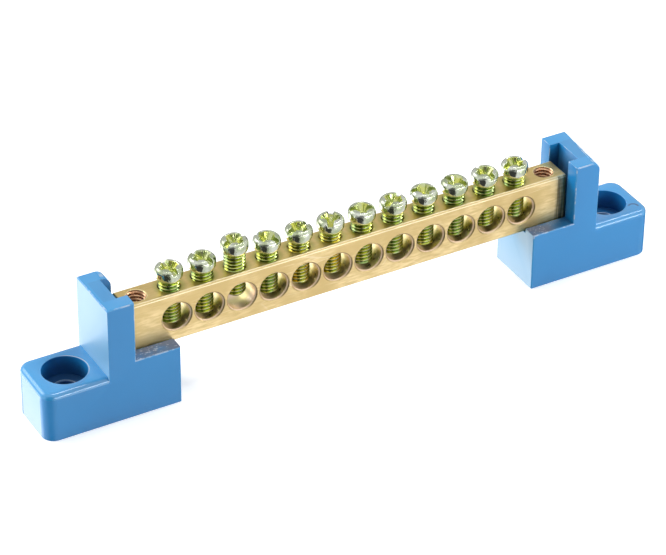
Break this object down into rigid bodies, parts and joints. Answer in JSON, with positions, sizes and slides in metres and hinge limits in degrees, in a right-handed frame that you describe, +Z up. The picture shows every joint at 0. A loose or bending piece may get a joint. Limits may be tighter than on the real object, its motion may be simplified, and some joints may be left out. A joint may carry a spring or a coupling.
{
  "type": "neutral terminal bar",
  "caption": "Brass neutral bar with a row of cross bores, a clamping screw over each bore, and a counterbored blue insulating foot under each end.",
  "frame": {"origin": "middle of the footprint, on the surface that the two feet stand on", "axes": "+X along the bar, -Y towards the wire entries shown in the picture, +Z up through the clamping screws"},
  "size_m": [0.1262, 0.0122, 0.0269],
  "materials": {
    "brass": "drawn brass, brushed along its length",
    "blue_plastic": "moulded, low gloss",
    "plated_screw": "zinc plated and yellow passivated"
  },
  "bodies": {
    "terminal_bar": {"busbar": "brass", "insulator_left": "blue_plastic", "insulator_right": "blue_plastic", "fixing_screw_left": "plated_screw", "fixing_screw_right": "plated_screw"},
    "clamp_01": {"terminal_screw_01": "plated_screw"},
    "clamp_02": {"terminal_screw_02": "plated_screw"},
    "clamp_03": {"terminal_screw_03": "plated_screw"},
    "clamp_04": {"terminal_screw_04": "plated_screw"},
    "clamp_05": {"terminal_screw_05": "plated_screw"},
    "clamp_06": {"terminal_screw_06": "plated_screw"},
    "clamp_07": {"terminal_screw_07": "plated_screw"},
    "clamp_08": {"terminal_screw_08": "plated_screw"},
    "clamp_09": {"terminal_screw_09": "plated_screw"},
    "clamp_10": {"terminal_screw_10": "plated_screw"},
    "clamp_11": {"terminal_screw_11": "plated_screw"},
    "clamp_12": {"terminal_screw_12": "plated_screw"}
  },
  "joints": [
    {"name": "clamp_01_travel", "type": "slide", "parent": "terminal_bar", "child": "clamp_01", "axis": [0, 0, 1], "range_m": [-0.0002, 0.0047]},
    {"name": "clamp_02_travel", "type": "slide", "parent": "terminal_bar", "child": "clamp_02", "axis": [0, 0, 1], "range_m": [-0.0002, 0.0047]},
    {"name": "clamp_03_travel", "type": "slide", "parent": "terminal_bar", "child": "clamp_03", "axis": [0, 0, 1], "range_m": [-0.00175, 0.00315]},
    {"name": "clamp_04_travel", "type": "slide", "parent": "terminal_bar", "child": "clamp_04", "axis": [0, 0, 1], "range_m": [-0.0002, 0.0047]},
    {"name": "clamp_05_travel", "type": "slide", "parent": "terminal_bar", "child": "clamp_05", "axis": [0, 0, 1], "range_m": [-0.0002, 0.0047]},
    {"name": "clamp_06_travel", "type": "slide", "parent": "terminal_bar", "child": "clamp_06", "axis": [0, 0, 1], "range_m": [-0.0002, 0.0047]},
    {"name": "clamp_07_travel", "type": "slide", "parent": "terminal_bar", "child": "clamp_07", "axis": [0, 0, 1], "range_m": [-0.0002, 0.0047]},
    {"name": "clamp_08_travel", "type": "slide", "parent": "terminal_bar", "child": "clamp_08", "axis": [0, 0, 1], "range_m": [-0.0002, 0.0047]},
    {"name": "clamp_09_travel", "type": "slide", "parent": "terminal_bar", "child": "clamp_09", "axis": [0, 0, 1], "range_m": [-0.0002, 0.0047]},
    {"name": "clamp_10_travel", "type": "slide", "parent": "terminal_bar", "child": "clamp_10", "axis": [0, 0, 1], "range_m": [-0.0002, 0.0047]},
    {"name": "clamp_11_travel", "type": "slide", "parent": "terminal_bar", "child": "clamp_11", "axis": [0, 0, 1], "range_m": [-0.0002, 0.0047]},
    {"name": "clamp_12_travel", "type": "slide", "parent": "terminal_bar", "child": "clamp_12", "axis": [0, 0, 1], "range_m": [-0.0002, 0.0047]}
  ]
}
